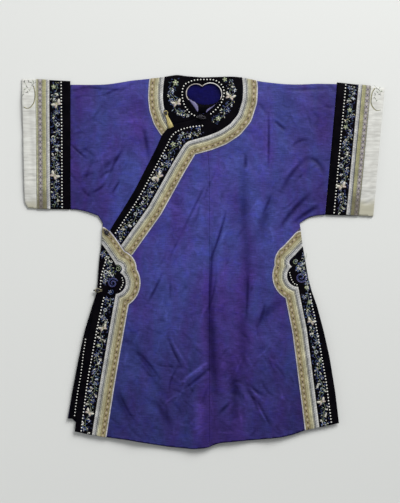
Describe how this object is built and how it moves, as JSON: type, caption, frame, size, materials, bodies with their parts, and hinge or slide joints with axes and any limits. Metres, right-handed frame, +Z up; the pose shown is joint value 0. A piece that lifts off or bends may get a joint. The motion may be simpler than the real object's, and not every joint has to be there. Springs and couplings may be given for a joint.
{
  "type": "side-fastening silk robe",
  "caption": "Wide-sleeved silk robe laid flat, front crossing to one side, with satin borders, woven ribbons, cloud-headed side slits, contrast cuffs and knot buttons.",
  "frame": {"origin": "centre of the bounding box in plan, on the surface that the robe lies on", "axes": "+Z up off the surface towards the front of the robe, +Y towards the shoulders, +X towards the wearer's left sleeve"},
  "size_m": [1.054, 1.086, 0.0224],
  "materials": {
    "silk": "blue-violet silk damask, soft sheen",
    "satin": "black silk satin with coloured embroidery and knotted white dots",
    "silver_ribbon": "narrow silver-white woven ribbon",
    "gold_ribbon": "old-gold woven ribbon with a small dark repeat",
    "cuff_satin": "off-white silk satin, stained at the lower edge",
    "piping": "pale rolled silk edging",
    "cord": "black satin cord",
    "gold_cord": "old-gold silk cord"
  },
  "bodies": {
    "root": {"back_panel": "silk", "front_inner": "silk", "front_overlap": "silk", "front_left": "silk", "collar_satin": "satin", "collar_silver": "silver_ribbon", "collar_gold": "gold_ribbon", "flap_satin": "satin", "flap_silver": "silver_ribbon", "flap_gold": "gold_ribbon", "slit_right_satin": "satin", "slit_right_silver": "silver_ribbon", "slit_right_gold": "gold_ribbon", "slit_left_satin": "satin", "slit_left_silver": "silver_ribbon", "slit_left_gold": "gold_ribbon", "inner_border_satin": "satin", "piping_inner": "piping", "piping_outer": "piping", "sleeve_right_satin": "satin", "sleeve_right_silver": "silver_ribbon", "sleeve_right_gold": "gold_ribbon", "cuff_right": "cuff_satin", "sleeve_left_satin": "satin", "sleeve_left_silver": "silver_ribbon", "sleeve_left_gold": "gold_ribbon", "cuff_left": "cuff_satin", "neck_knot": "cord", "neck_loop": "cord", "chest_knot": "cord", "chest_loop": "gold_cord", "underarm_knot": "cord", "underarm_loop": "cord", "slit_knot": "cord", "slit_loop": "gold_cord"}
  },
  "joints": []
}
